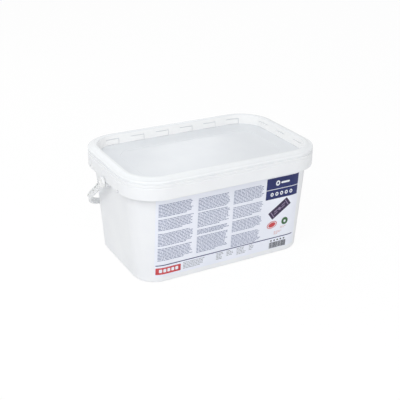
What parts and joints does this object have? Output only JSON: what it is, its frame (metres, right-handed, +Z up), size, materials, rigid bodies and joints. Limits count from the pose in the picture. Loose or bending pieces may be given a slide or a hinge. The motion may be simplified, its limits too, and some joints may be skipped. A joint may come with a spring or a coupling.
{
  "type": "rectangular tablet tub",
  "caption": "Rectangular white plastic tub with a recessed press-on lid, a swing-over carry handle and a wrapped front label.",
  "frame": {"origin": "centre of the foot, on the plane it stands on", "axes": "+X along the long side, -Y out of the labelled front, +Z up"},
  "size_m": [0.408, 0.263, 0.212],
  "materials": {
    "tub_plastic": "satin white polypropylene",
    "lid_plastic": "smooth white polypropylene",
    "handle_plastic": "satin white polypropylene",
    "label_film": "printed film, pale blue-white"
  },
  "bodies": {
    "tub_body": {"tub": "tub_plastic", "front_label": "label_film"},
    "lid_body": {"lid": "lid_plastic"},
    "handle_body": {"carry_handle": "handle_plastic", "handle_bends": "handle_plastic", "handle_arms": "handle_plastic"}
  },
  "joints": [
    {"name": "handle_swing", "type": "hinge", "parent": "tub_body", "child": "handle_body", "pos_m": [0, 0, 0.17], "axis": [1, 0, 0], "range_deg": [0, 255]},
    {"name": "lid_lift", "type": "slide", "parent": "tub_body", "child": "lid_body", "axis": [0, 0, 1], "range_m": [0, 0.06]}
  ]
}
